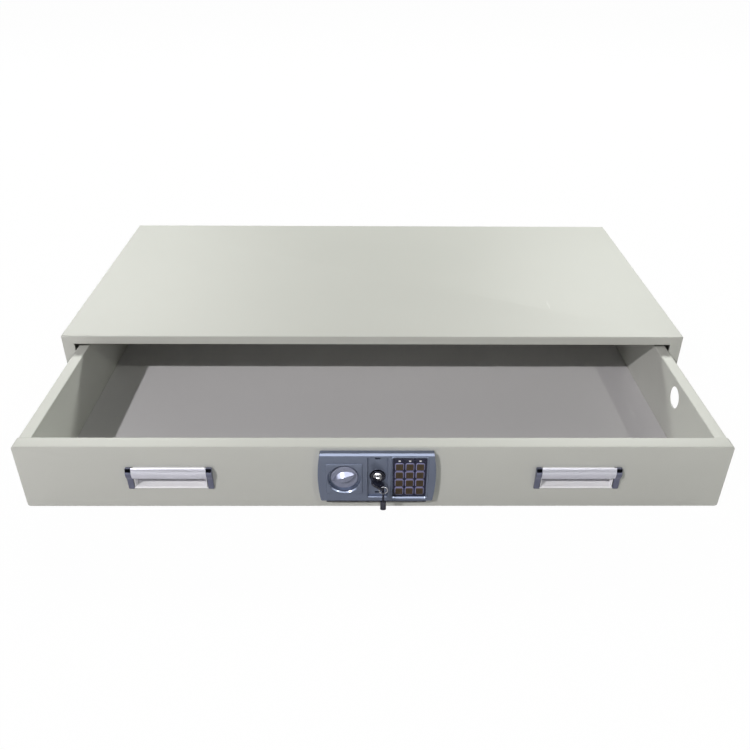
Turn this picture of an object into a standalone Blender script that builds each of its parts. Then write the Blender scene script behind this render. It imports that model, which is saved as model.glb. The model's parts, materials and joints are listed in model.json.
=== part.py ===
"""Under-desk locking drawer of folded sheet steel, standing open as in use.

Metres, +Z up, -Y is the front. The origin is the centre of the cabinet's underside.
The cabinet stays still. The drawer runs on two ball-bearing slides and carries a
combination lock with a turning knob, twelve push keys, two downward bolts and an
override key with a spare on a ring.
"""
import math

import bmesh
import bpy
from mathutils import Matrix, Vector

# ---------------------------------------------------------------- driving sizes
WIDTH = 1.000
DEPTH = 0.495
HEIGHT = 0.140
SHEET = 0.0012          # cabinet and drawer steel
GAP = 0.0003            # left between pieces that touch

FLANGE_SIDE = 0.019     # folded mouth flanges
FLANGE_TOP = 0.014
LIP_BASE = 0.014

FRONT_WIDTH = 0.960
FRONT_HEIGHT = 0.103
FRONT_THICK = 0.0205
FRONT_BOTTOM = 0.016
FRONT_CORNER = 0.004

PULLED_OUT = 0.2646     # how far the drawer stands open
DRAWER_LENGTH = 0.475
DRAWER_INNER = 0.4597   # half of the clear width between the side walls
RIM_OUTER = 0.477
RIM_HEM = 0.007
FLOOR_TOP = 0.023
CABLE_HOLE_R = 0.017
CABLE_HOLE_Y = -0.3495
CABLE_HOLE_Z = 0.0913

SLIDE_LENGTH = 0.450
SLIDE_Z = 0.0435
SLIDE_FRONT_CLOSED = -0.222
BRACKET_HEIGHT = 0.056
BRACKET_SHEET = 0.0015

HANDLE_X = 0.276
HANDLE_Z = 0.0690
HANDLE_LENGTH = 0.116
HANDLE_HEIGHT = 0.038
HANDLE_CAP = 0.008
GRIP_LOW = 0.0012       # lower edge of the grip, above the handle's middle

LOCK_X = 0.0033
LOCK_LOW = 0.0340
LOCK_HIGH = 0.1135
LOCK_HALF_END = 0.0760  # half width at the ends of the bowed sides
LOCK_HALF_MID = 0.0795
LOCK_PROUD = 0.0093
LOCK_RAISED = 0.0012    # knob boss and keypad rim, above the rest of the face plate

KNOB_X = LOCK_X - 0.0438
KNOB_Z = 0.0725
KNOB_R = 0.0185
KNOB_TILT = math.radians(17)

KEYPAD_X = LOCK_X + 0.0440
KEYPAD_Z = 0.0742
KEY_PITCH_X = 0.0139
KEY_PITCH_Z = 0.0137
KEY_WIDTH = 0.0118
KEY_HEIGHT = 0.0122
LIGHT_Z = 0.1018

CYLINDER_X = LOCK_X + 0.0010
CYLINDER_Z = 0.0745
BOW_TILT = math.radians(34)
BOW_WIDTH = 0.020
BOW_LENGTH = 0.0165
BOW_THICK = 0.0028
RING_R = 0.0055
RING_WIRE = 0.00065
SPARE_TILT = math.radians(20)

BOLT_SPREAD = 0.020
BOLT_R = 0.005

# ---------------------------------------------------------------- worked out
CAB_FRONT = -DEPTH / 2
CAB_BACK = DEPTH / 2
FACE = CAB_FRONT - PULLED_OUT                   # outer face of the drawer front
PANEL_BACK = FACE + FRONT_THICK
RIM_TOP = FRONT_BOTTOM + FRONT_HEIGHT
DRAWER_BACK = FACE + DRAWER_LENGTH
WALL_OUTER = DRAWER_INNER + SHEET
BOLT_Y = PANEL_BACK + 0.0190
CASE_BACK = PANEL_BACK + 0.0403
CASE_TOP = 0.0860
BOLT_LOW = 0.0165

# ---------------------------------------------------------------- scene helpers
for old in list(bpy.data.objects):
    bpy.data.objects.remove(old, do_unlink=True)


def new_collection(name):
    made = bpy.data.collections.new(name)
    bpy.context.scene.collection.children.link(made)
    return made


PARTS = new_collection("under_desk_drawer")
CUTTERS = new_collection("cutters")


def material(name, colour, roughness, metallic=0.0):
    made = bpy.data.materials.new(name)
    made.use_nodes = True
    shader = made.node_tree.nodes["Principled BSDF"]
    shader.inputs["Base Color"].default_value = (*colour, 1.0)
    shader.inputs["Roughness"].default_value = roughness
    shader.inputs["Metallic"].default_value = metallic
    made.diffuse_color = (*colour, 1.0)
    return made


PAINT = material("powder_coat", (0.60, 0.60, 0.56), 0.55)
ZINC = material("zinc_steel", (0.62, 0.63, 0.65), 0.35, 1.0)
STEEL = material("bright_steel", (0.70, 0.70, 0.72), 0.25, 1.0)
CHROME = material("chrome", (0.80, 0.80, 0.82), 0.12, 1.0)
ALUMINIUM = material("satin_aluminium", (0.80, 0.80, 0.88), 0.35, 1.0)
CUP = material("cup_plastic", (0.82, 0.81, 0.86), 0.40)
LOCK_PLASTIC = material("lock_plastic", (0.20, 0.23, 0.32), 0.40, 0.3)
KNOB_PLASTIC = material("knob_plastic", (0.38, 0.40, 0.50), 0.35, 0.3)
PAD_BLACK = material("keypad_black", (0.01, 0.01, 0.03), 0.40)
KEY_BROWN = material("key_face", (0.10, 0.07, 0.03), 0.40)
LENS = material("light_lens", (0.90, 0.90, 0.92), 0.20)
BOARD = material("circuit_board", (0.03, 0.16, 0.07), 0.50)
BLACK_PLASTIC = material("black_plastic", (0.012, 0.012, 0.025), 0.40)


def mesh_object(name, bm, look, location=(0, 0, 0), smooth=False):
    mesh = bpy.data.meshes.new(name)
    bm.normal_update()
    bm.to_mesh(mesh)
    bm.free()
    if smooth:
        mesh.shade_smooth()
        mesh.set_sharp_from_angle(angle=math.radians(35))
    made = bpy.data.objects.new(name, mesh)
    made.location = location
    if look is not None:
        mesh.materials.append(look)
    (PARTS if look is not None else CUTTERS).objects.link(made)
    if look is None:
        made.hide_render = True
        made.display_type = "WIRE"
    return made


def box(name, low, high, look, bevel=0.0, segments=2):
    """A block between two corners; a bevel rounds all its edges."""
    size = Vector(high) - Vector(low)
    bm = bmesh.new()
    bmesh.ops.create_cube(bm, size=1.0)
    bmesh.ops.scale(bm, vec=size, verts=bm.verts)
    made = mesh_object(name, bm, look, (Vector(high) + Vector(low)) / 2)
    if bevel:
        edge = made.modifiers.new("round edges", "BEVEL")
        edge.width = bevel
        edge.segments = segments
        edge.limit_method = "ANGLE"
    return made


def open_box(name, low, high, look, open_sides, thick=SHEET, corner=0.0, corner_axis=1):
    """Sheet around a box with some sides left open, such as ("-z", "+y").

    A corner radius rounds the four edges that run along corner_axis."""
    size = Vector(high) - Vector(low)
    bm = bmesh.new()
    bmesh.ops.create_cube(bm, size=1.0)
    bmesh.ops.scale(bm, vec=size, verts=bm.verts)
    if corner:
        along = [e for e in bm.edges
                 if abs((e.verts[0].co - e.verts[1].co)[corner_axis]) > 0.5 * size[corner_axis]]
        bmesh.ops.bevel(bm, geom=along, offset=corner, segments=3, profile=0.5, affect="EDGES")
    remove_sides(bm, open_sides)
    made = mesh_object(name, bm, look, (Vector(high) + Vector(low)) / 2)
    add_sheet(made, thick)
    return made


def remove_sides(bm, sides):
    bm.normal_update()
    gone = []
    for side in sides:
        axis = "xyz".index(side[1])
        sign = 1 if side[0] == "+" else -1
        gone += [f for f in bm.faces if f.normal[axis] * sign > 0.99]
    bmesh.ops.delete(bm, geom=gone, context="FACES")


def add_sheet(made, thick):
    sheet = made.modifiers.new("sheet", "SOLIDIFY")
    sheet.thickness = thick
    sheet.offset = -1.0
    sheet.use_even_offset = True


AXIS_TURN = {
    "x": Matrix.Rotation(math.radians(90), 4, "Y"),
    "y": Matrix.Rotation(math.radians(90), 4, "X"),     # local +Z points to the front, -Y
    "z": Matrix.Identity(4),
}


def cylinder(name, centre, radius, length, axis, look, segments=24):
    bm = bmesh.new()
    bmesh.ops.create_cone(bm, cap_ends=True, segments=segments, radius1=radius, radius2=radius,
                          depth=length)
    bmesh.ops.transform(bm, matrix=AXIS_TURN[axis], verts=bm.verts)
    return mesh_object(name, bm, look, centre, smooth=look is not None)


def outline_solid(name, points, thick, place, look, smooth=False):
    """A flat outline in the local XY plane, thick along local Z, put at the matrix place."""
    curve = bpy.data.curves.new(name, "CURVE")
    curve.dimensions = "2D"
    curve.fill_mode = "BOTH"
    curve.extrude = thick / 2
    spline = curve.splines.new("POLY")
    spline.points.add(len(points) - 1)
    for point, (x, y) in zip(spline.points, points):
        point.co = (x, y, 0, 1)
    spline.use_cyclic_u = True
    guide = bpy.data.objects.new(name + "_outline", curve)
    CUTTERS.objects.link(guide)
    bpy.context.view_layer.update()
    solid = bpy.data.meshes.new_from_object(guide.evaluated_get(bpy.context.evaluated_depsgraph_get()))
    bm = bmesh.new()
    bm.from_mesh(solid)
    bmesh.ops.remove_doubles(bm, verts=bm.verts, dist=1e-6)
    bmesh.ops.recalc_face_normals(bm, faces=bm.faces)
    bpy.data.objects.remove(guide, do_unlink=True)
    bpy.data.meshes.remove(solid)
    bpy.data.curves.remove(curve)
    made = mesh_object(name, bm, look, smooth=smooth)
    made.matrix_world = place
    return made


def facing_front(x, y, z):
    """Place of a turned piece whose axis runs front to back, its local +Z to the front."""
    return Matrix.Translation((x, y, z)) @ AXIS_TURN["y"]


def turned(name, profile, place, look, steps=24):
    """A turned shape about local Z: (radius, height) pairs that run down its outer side."""
    bm = bmesh.new()
    corners = [bm.verts.new((radius, 0, height)) for radius, height in profile]
    for first, second in zip(corners, corners[1:]):
        bm.edges.new((first, second))
    if profile[0][0] > 0:
        bm.edges.new((corners[-1], corners[0]))
    made = mesh_object(name, bm, look, smooth=True)
    made.matrix_world = place
    spin = made.modifiers.new("turn", "SCREW")
    spin.axis = "Z"
    spin.steps = steps
    spin.render_steps = steps
    spin.use_merge_vertices = True
    spin.merge_threshold = 1e-5
    spin.use_smooth_shade = True
    return made


def boolean(target, tool, operation):
    step = target.modifiers.new(operation.lower(), "BOOLEAN")
    step.object = tool
    step.operation = operation
    step.solver = "EXACT"


def cut(target, *tools):
    for tool in tools:
        boolean(target, tool, "DIFFERENCE")


def join(target, *tools):
    for tool in tools:
        boolean(target, tool, "UNION")


# Outlines drawn across the object: local X to the right, local Y up, thickness front to back.
def upright(y, x=0.0, z=0.0, turn=0.0):
    spot = Matrix.Translation((x, y, z)) @ Matrix.Rotation(turn, 4, "Y")
    return spot @ Matrix.Rotation(math.radians(90), 4, "X")


# Outlines drawn from the side: local X to the back, local Y up, thickness left to right.
def sideways(x, y=0.0, z=0.0):
    return Matrix.Translation((x, y, z)) @ Matrix(((0, 0, 1, 0), (1, 0, 0, 0), (0, 1, 0, 0), (0, 0, 0, 1)))


# ---------------------------------------------------------------- bodies
class Body:
    """An empty on the joint's axis, which the moving pieces hang from."""

    def __init__(self, name, location=(0, 0, 0), parent=None):
        self.empty = bpy.data.objects.new(name, None)
        self.spot = Vector(location)
        PARTS.objects.link(self.empty)
        if parent is None:
            self.empty.location = self.spot
        else:
            self.empty.parent = parent.empty
            self.empty.location = self.spot - parent.spot

    def hold(self, *pieces):
        for piece in pieces:
            piece.parent = self.empty
            piece.matrix_parent_inverse = Matrix.Translation(-self.spot)


CABINET = Body("cabinet_body")
DRAWER = Body("drawer_body", (0, PANEL_BACK, SLIDE_Z), CABINET)


# ---------------------------------------------------------------- cabinet
def cabinet():
    """A wrap of top, sides and mouth flanges; a base pan with a front lip; a flat back."""
    half = WIDTH / 2
    size = Vector((WIDTH, DEPTH, HEIGHT))
    bm = bmesh.new()
    bmesh.ops.create_cube(bm, size=1.0)
    bmesh.ops.scale(bm, vec=size, verts=bm.verts)
    bmesh.ops.translate(bm, vec=(0, 0, HEIGHT / 2), verts=bm.verts)
    remove_sides(bm, ("-z", "+y"))
    mouth_lines = (
        ((half - FLANGE_SIDE, 0, 0), (1, 0, 0)),
        ((FLANGE_SIDE - half, 0, 0), (1, 0, 0)),
        ((0, 0, HEIGHT - FLANGE_TOP), (0, 0, 1)),
    )
    for spot, normal in mouth_lines:
        front = [f for f in bm.faces if f.normal.y < -0.99]
        edges = {e for f in front for e in f.edges}
        corners = {v for f in front for v in f.verts}
        bmesh.ops.bisect_plane(bm, geom=front + list(edges) + list(corners), dist=1e-7,
                               plane_co=spot, plane_no=normal)
    hollow = [f for f in bm.faces if f.normal.y < -0.99
              and abs(f.calc_center_median().x) < half - FLANGE_SIDE
              and f.calc_center_median().z < HEIGHT - FLANGE_TOP]
    bmesh.ops.delete(bm, geom=hollow, context="FACES")
    shell = mesh_object("cabinet_shell", bm, PAINT)
    add_sheet(shell, SHEET)

    inner = half - SHEET - GAP
    plate_front = CAB_FRONT + SHEET + GAP
    lip_half = half - FLANGE_SIDE - GAP
    profile = [(CAB_FRONT, 0), (CAB_BACK - SHEET - GAP, 0), (CAB_BACK - SHEET - GAP, SHEET),
               (CAB_FRONT + SHEET, SHEET), (CAB_FRONT + SHEET, LIP_BASE), (CAB_FRONT, LIP_BASE)]
    base = outline_solid("cabinet_base", profile, 2 * inner, sideways(0), PAINT)
    for side, word in ((-1, "left"), (1, "right")):
        low, high = sorted((side * lip_half, side * WIDTH))
        cut(base, box(f"base_notch_{word}", (low, -DEPTH, -HEIGHT), (high, plate_front, HEIGHT), None))

    back = box("cabinet_back", (-inner, CAB_BACK - SHEET, SHEET + GAP),
               (inner, CAB_BACK, HEIGHT - SHEET - GAP), PAINT)
    CABINET.hold(shell, base, back)


def channel(depth, height, thick):
    """A C outline, web at local X = 0, open towards +X."""
    h = height / 2
    return [(0, -h), (depth, -h), (depth, thick - h), (thick, thick - h),
            (thick, h - thick), (depth, h - thick), (depth, h), (0, h)]


def rail(name, side, web_x, opens_outward, depth, height, thick, front, length, look):
    """A C-section rail along Y whose web stands at side * web_x."""
    direction = side if opens_outward else -side
    points = [(direction * x, y) for x, y in channel(depth, height, thick)]
    if direction < 0:
        points.reverse()
    middle = front + length / 2
    return outline_solid(name, points, length, upright(middle, side * web_x, SLIDE_Z), look)


def slides():
    """On each side: a spacer bracket and three nested slide members."""
    for side, word in ((-1, "left"), (1, "right")):
        web = WALL_OUTER + GAP
        outer_web = WALL_OUTER + 0.0130
        bracket_depth = WIDTH / 2 - SHEET - GAP - outer_web - GAP
        bracket = rail(f"slide_bracket_{word}", side, outer_web + GAP, True, bracket_depth,
                       BRACKET_HEIGHT, BRACKET_SHEET, SLIDE_FRONT_CLOSED + 0.004, SLIDE_LENGTH, ZINC)
        outer = rail(f"slide_outer_{word}", side, outer_web, False, 0.0105, 0.045, 0.0012,
                     SLIDE_FRONT_CLOSED, SLIDE_LENGTH, ZINC)
        CABINET.hold(bracket, outer)
        body = Body(f"slide_middle_{word}_body", (side * web, PANEL_BACK, SLIDE_Z), CABINET)
        body.hold(rail(f"slide_middle_{word}", side, outer_web - 0.0022, False, 0.0070, 0.037, 0.0012,
                       SLIDE_FRONT_CLOSED - PULLED_OUT / 2, SLIDE_LENGTH, ZINC))
        DRAWER.hold(rail(f"slide_inner_{word}", side, web, True, 0.0070, 0.028, 0.0012,
                         SLIDE_FRONT_CLOSED - PULLED_OUT, SLIDE_LENGTH, ZINC))


def bolt_strike():
    """A bridge on the base, just behind the mouth lip, with a hole for each bolt."""
    closed_y = BOLT_Y + PULLED_OUT
    half = 0.0165
    top = 0.0125
    foot = SHEET + GAP
    thick = 0.0015
    profile = [(-half, foot), (thick - half, foot), (thick - half, top - thick),
               (half - thick, top - thick), (half - thick, foot), (half, foot), (half, top), (-half, top)]
    strike = outline_solid("bolt_strike", profile, 0.076, sideways(LOCK_X, closed_y), ZINC)
    for side in (-1, 1):
        spot = (LOCK_X + side * BOLT_SPREAD, closed_y, top)
        cut(strike, cylinder(f"strike_hole_{side}", spot, BOLT_R + 0.0015, 0.006, "z", None))
    CABINET.hold(strike)


# ---------------------------------------------------------------- drawer
def drawer_box():
    """Floor, two side walls with outward folded rims, and a back wall."""
    inner = DRAWER_INNER - GAP
    low = FLOOR_TOP - SHEET
    front = PANEL_BACK + GAP
    back_face = DRAWER_BACK - SHEET
    floor = box("drawer_floor", (-inner, front, low), (inner, back_face - GAP, FLOOR_TOP), PAINT)
    for side in (-1, 1):
        spot = (LOCK_X + side * BOLT_SPREAD, BOLT_Y, FLOOR_TOP)
        cut(floor, cylinder(f"floor_hole_{side}", spot, BOLT_R + 0.0008, 0.006, "z", None))

    wall = [(DRAWER_INNER, low), (WALL_OUTER, low), (WALL_OUTER, RIM_TOP - SHEET),
            (RIM_OUTER - SHEET, RIM_TOP - SHEET), (RIM_OUTER - SHEET, RIM_TOP - RIM_HEM),
            (RIM_OUTER, RIM_TOP - RIM_HEM), (RIM_OUTER, RIM_TOP), (DRAWER_INNER, RIM_TOP)]
    length = DRAWER_BACK - front
    middle = upright((DRAWER_BACK + front) / 2)
    right = outline_solid("drawer_side_right", wall, length, middle, PAINT)
    left = outline_solid("drawer_side_left", [(-x, z) for x, z in reversed(wall)], length, middle, PAINT)
    hole = (WALL_OUTER, CABLE_HOLE_Y, CABLE_HOLE_Z)
    cut(right, cylinder("cable_hole", hole, CABLE_HOLE_R, 0.006, "x", None, 32))

    fold = 0.010
    profile = [(back_face, low), (DRAWER_BACK, low), (DRAWER_BACK, RIM_TOP - SHEET),
               (DRAWER_BACK + fold, RIM_TOP - SHEET), (DRAWER_BACK + fold, RIM_TOP), (back_face, RIM_TOP)]
    back = outline_solid("drawer_back", profile, 2 * inner, sideways(0), PAINT)
    DRAWER.hold(floor, left, right, back)


def lock_holes(tag, depth_low, depth_high):
    """Cutters through the panel for the knob's shaft and the key cylinder."""
    middle = (depth_low + depth_high) / 2
    length = depth_high - depth_low
    return (cylinder(f"shaft_hole_{tag}", (KNOB_X, middle, KNOB_Z), 0.0050, length, "y", None),
            cylinder(f"cylinder_hole_{tag}", (CYLINDER_X, middle, CYLINDER_Z), 0.0100, length, "y", None))


def front_panel():
    """A boxed outer shell with openings for the handles and lock, and its inner cover."""
    half = FRONT_WIDTH / 2
    shell = open_box("front_panel", (-half, FACE, FRONT_BOTTOM), (half, PANEL_BACK, RIM_TOP), PAINT,
                     ("+y",), corner=FRONT_CORNER)
    cut(shell, *lock_holes("shell", FACE - 0.004, FACE + 0.004))
    half_x = HANDLE_LENGTH / 2 - HANDLE_CAP - 0.0007
    half_z = HANDLE_HEIGHT / 2 - 0.0022
    for side in (-1, 1):
        x = side * HANDLE_X
        cut(shell, box(f"handle_opening_{side}", (x - half_x, FACE - 0.004, HANDLE_Z - half_z),
                       (x + half_x, FACE + 0.004, HANDLE_Z + half_z), None))

    edge = SHEET + GAP
    cover_back = PANEL_BACK - GAP
    cover = box("front_inner_cover", (edge - half, cover_back - SHEET, FRONT_BOTTOM + edge),
                (half - edge, cover_back, RIM_TOP - edge), PAINT)
    bevel_plate_corners(cover, FRONT_CORNER)
    cut(cover, *lock_holes("cover", cover_back - 0.004, cover_back + 0.003))
    DRAWER.hold(shell, cover)


def bevel_plate_corners(plate, radius):
    """Rounds the four corner edges of a plate that faces front to back."""
    bm = bmesh.new()
    bm.from_mesh(plate.data)
    along = [e for e in bm.edges if abs((e.verts[0].co - e.verts[1].co).normalized().y) > 0.99]
    bmesh.ops.bevel(bm, geom=along, offset=radius, segments=3, profile=0.5, affect="EDGES")
    bm.to_mesh(plate.data)
    bm.free()


def handles():
    """Recessed pulls: an open cup let into the panel, a grip bar across its top, two end caps."""
    half_x = HANDLE_LENGTH / 2 - HANDLE_CAP - 0.0010
    half_z = HANDLE_HEIGHT / 2 - 0.0025
    for side, word in ((-1, "left"), (1, "right")):
        x = side * HANDLE_X
        cup = open_box(f"handle_cup_{word}", (x - half_x, FACE - 0.0019, HANDLE_Z - half_z),
                       (x + half_x, FACE + 0.0150, HANDLE_Z + half_z), CUP, ("-y",), thick=0.0010)
        grip = outline_solid(f"handle_grip_{word}", grip_outline(), 2 * half_x + 0.0014,
                             sideways(x, FACE, HANDLE_Z), ALUMINIUM, smooth=True)
        DRAWER.hold(cup, grip)
        for end, tag in ((-1, "a"), (1, "b")):
            near = x + end * (HANDLE_LENGTH / 2 - HANDLE_CAP)
            far = x + end * HANDLE_LENGTH / 2
            low, high = sorted((near, far))
            DRAWER.hold(outline_solid(f"handle_cap_{word}_{tag}", cap_outline(), high - low,
                                      sideways((low + high) / 2, FACE, HANDLE_Z), CHROME))


def bulge_line(inset, rise, steps=6):
    """The pull's bulge from its top down to the finger gap: (distance behind the face, height)."""
    top = HANDLE_HEIGHT / 2
    line = []
    for step in range(steps + 1):
        share = step / steps
        angle = math.radians(20 + 130 * share)
        line.append((-inset - rise * math.sin(angle), top + (GRIP_LOW - top) * share))
    return line


def grip_outline():
    """A shallow arc, about 2 mm thick."""
    return bulge_line(0.0035, 0.0040) + bulge_line(0.0022, 0.0033)[::-1]


def cap_outline():
    """The same bulge, 0.3 mm proud of the grip, above a flat lower half."""
    bottom = -HANDLE_HEIGHT / 2
    return bulge_line(0.0038, 0.0040) + [(-0.0036, -0.0035), (-0.0030, bottom), (-GAP, bottom),
                                         (-GAP, HANDLE_HEIGHT / 2)]


# ---------------------------------------------------------------- lock front
def face_outline():
    """Straight top and bottom, bowed sides; (x, z) about the lock's middle."""
    half_height = (LOCK_HIGH - LOCK_LOW) / 2
    rise = LOCK_HALF_MID - LOCK_HALF_END
    radius = (half_height ** 2 + rise ** 2) / (2 * rise)
    centre = LOCK_HALF_MID - radius
    spread = math.asin(half_height / radius)
    steps = 10
    angles = [spread * (2 * step / steps - 1) for step in range(steps + 1)]
    right = [(centre + radius * math.cos(a), radius * math.sin(a)) for a in angles]
    left = [(-x, -z) for x, z in right]
    return right + left


def lock_front():
    """Face plate with a knob seat, a key recess and a keypad window, all on the panel."""
    back = FACE - GAP
    front = FACE - LOCK_PROUD
    middle_z = (LOCK_LOW + LOCK_HIGH) / 2
    plate = outline_solid("lock_faceplate", face_outline(), back - front,
                          upright((front + back) / 2, LOCK_X, middle_z), LOCK_PLASTIC)
    window_w, window_h = 0.0460, 0.0690
    recess_w, recess_h = 0.0264, 0.0664
    boss_w, boss_h = 0.0490, 0.0510
    rim = 0.0020
    raised = front - LOCK_RAISED
    sunk = front + 0.0010
    join(plate,
         box("knob_boss", (KNOB_X - boss_w / 2, raised, KNOB_Z - boss_h / 2),
             (KNOB_X + boss_w / 2, sunk, KNOB_Z + boss_h / 2), None),
         box("keypad_rim", (KEYPAD_X - window_w / 2 - rim, raised, KEYPAD_Z - window_h / 2 - rim),
             (KEYPAD_X + window_w / 2 + rim, sunk, KEYPAD_Z + window_h / 2 + rim), None))
    cut(plate,
        cylinder("knob_well", (KNOB_X, front, KNOB_Z), 0.0218, 0.0100, "y", None, 48),
        cylinder("knob_shaft_hole", (KNOB_X, FACE, KNOB_Z), 0.0050, 0.03, "y", None),
        box("key_recess", (CYLINDER_X - recess_w / 2, front - 0.01, CYLINDER_Z - recess_h / 2),
            (CYLINDER_X + recess_w / 2, front + 0.0035, CYLINDER_Z + recess_h / 2), None),
        cylinder("plate_cylinder_hole", (CYLINDER_X, FACE, CYLINDER_Z), 0.0105, 0.03, "y", None),
        box("keypad_window", (KEYPAD_X - window_w / 2, front - 0.01, KEYPAD_Z - window_h / 2),
            (KEYPAD_X + window_w / 2, back + 0.01, KEYPAD_Z + window_h / 2), None))

    pad_front = front + 0.0012
    pad = box("keypad_plate",
              (KEYPAD_X - window_w / 2 + GAP, pad_front, KEYPAD_Z - window_h / 2 + GAP),
              (KEYPAD_X + window_w / 2 - GAP, pad_front + 0.0030, KEYPAD_Z + window_h / 2 - GAP), PAD_BLACK)
    board = box("keypad_circuit_board", (KEYPAD_X - 0.0210, pad_front + 0.0050, KEYPAD_Z - 0.0320),
                (KEYPAD_X + 0.0210, pad_front + 0.0066, KEYPAD_Z + 0.0320), BOARD)
    DRAWER.hold(plate, pad, board)

    for column in range(3):
        x = KEYPAD_X + (column - 1) * KEY_PITCH_X
        cut(pad, cylinder(f"light_hole_{column}", (x, pad_front, LIGHT_Z), 0.0021, 0.02, "y", None, 16))
        DRAWER.hold(cylinder(f"indicator_light_{column + 1}", (x, pad_front + 0.0012, LIGHT_Z), 0.0018,
                             0.0034, "y", LENS, 16))

    names = ("1", "2", "3", "4", "5", "6", "7", "8", "9", "clear", "0", "enter")
    for index, label in enumerate(names):
        row, column = divmod(index, 3)
        x = KEYPAD_X + (column - 1) * KEY_PITCH_X
        z = KEYPAD_Z + 0.0180 - row * KEY_PITCH_Z
        slack = 0.0004
        cut(pad, box(f"key_hole_{label}",
                     (x - KEY_WIDTH / 2 - slack, front - 0.01, z - KEY_HEIGHT / 2 - slack),
                     (x + KEY_WIDTH / 2 + slack, back, z + KEY_HEIGHT / 2 + slack), None))
        body = Body(f"button_{label}_body", (x, pad_front, z), DRAWER)
        body.hold(box(f"button_{label}", (x - KEY_WIDTH / 2, pad_front - 0.0010, z - KEY_HEIGHT / 2),
                      (x + KEY_WIDTH / 2, pad_front + 0.0034, z + KEY_HEIGHT / 2), KEY_BROWN))


def knob():
    """Round knob, flush in its well, with a raised grip; its shaft runs back to a crank plate."""
    body = Body("knob_body", (KNOB_X, FACE, KNOB_Z), DRAWER)
    disc_front = LOCK_PROUD - 0.0030
    disc_back = LOCK_PROUD - 0.0050 + GAP
    crank = FACE - PANEL_BACK - 0.0105
    crank_thick = 0.0020
    shaft_r, crank_r, round_off = 0.0040, 0.0080, 0.0008
    profile = [(0, disc_front), (KNOB_R - round_off, disc_front), (KNOB_R, disc_front - round_off),
               (KNOB_R, disc_back), (shaft_r, disc_back), (shaft_r, crank), (crank_r, crank),
               (crank_r, crank - crank_thick), (0, crank - crank_thick)]
    disc = turned("knob", profile, facing_front(KNOB_X, FACE, KNOB_Z), KNOB_PLASTIC, 32)
    sunk, rise = 0.0010, 0.0055
    blade_middle = FACE - disc_front + (sunk - rise) / 2
    blade = outline_solid("knob_grip", blade_outline(), sunk + rise,
                          upright(blade_middle, KNOB_X, KNOB_Z, -KNOB_TILT), None)
    join(disc, blade)
    body.hold(disc)


def blade_outline():
    """The grip seen from the front: a long lens, wide in the middle."""
    reach = KNOB_R - 0.0006
    half = 0.0062
    steps = 8
    upper = [(reach * math.cos(math.pi * s / steps), half * math.sin(math.pi * s / steps))
             for s in range(steps + 1)]
    lower = [(-x, -z) for x, z in upper[1:-1]]
    return upper + lower


# ---------------------------------------------------------------- key lock
BOW_START = 0.0144      # in front of the drawer's face
HOLE_R = 0.0024
HOLE_ACROSS = 0.0056    # from the key's axis
HOLE_ALONG = BOW_LENGTH - 0.0050
BRIDGE = (HOLE_ACROSS + HOLE_R + BOW_WIDTH / 2) / 2     # middle of the strip that holds the ring
RING_DROP = 0.0026
SHANK_LENGTH = 0.0119


def bow_outline():
    """Key bow seen on its flat: a rounded block, the key's axis along local Y."""
    half = BOW_WIDTH / 2
    corners = ((half, BOW_LENGTH, 0.0050), (-half, BOW_LENGTH, 0.0050), (-half, 0, 0.0035), (half, 0, 0.0035))
    steps = 4
    points = []
    for index, (x, y, radius) in enumerate(corners):
        centre_x = x - math.copysign(radius, x)
        centre_y = y - radius if y > 0 else radius
        for step in range(steps + 1):
            angle = math.radians(90) * (index + step / steps)
            points.append((centre_x + radius * math.cos(angle), centre_y + radius * math.sin(angle)))
    return points


def key(bow_name, shank_name, place):
    """A flat bow with a ring hole near one corner, and its round hollow shank."""
    bow = outline_solid(bow_name, bow_outline(), BOW_THICK, place, BLACK_PLASTIC)
    hole = place @ Matrix.Translation((HOLE_ACROSS, HOLE_ALONG, 0))
    bow_hole = cylinder(bow_name + "_hole", (0, 0, 0), HOLE_R, 0.02, "z", None, 16)
    bow_hole.matrix_world = hole
    cut(bow, bow_hole)
    shank = [(0.0040, -GAP), (0.0040, -SHANK_LENGTH), (0.0033, -SHANK_LENGTH), (0.0033, -GAP)]
    along = place @ Matrix.Rotation(math.radians(-90), 4, "X")
    return bow, turned(shank_name, shank, along, STEEL)


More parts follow.
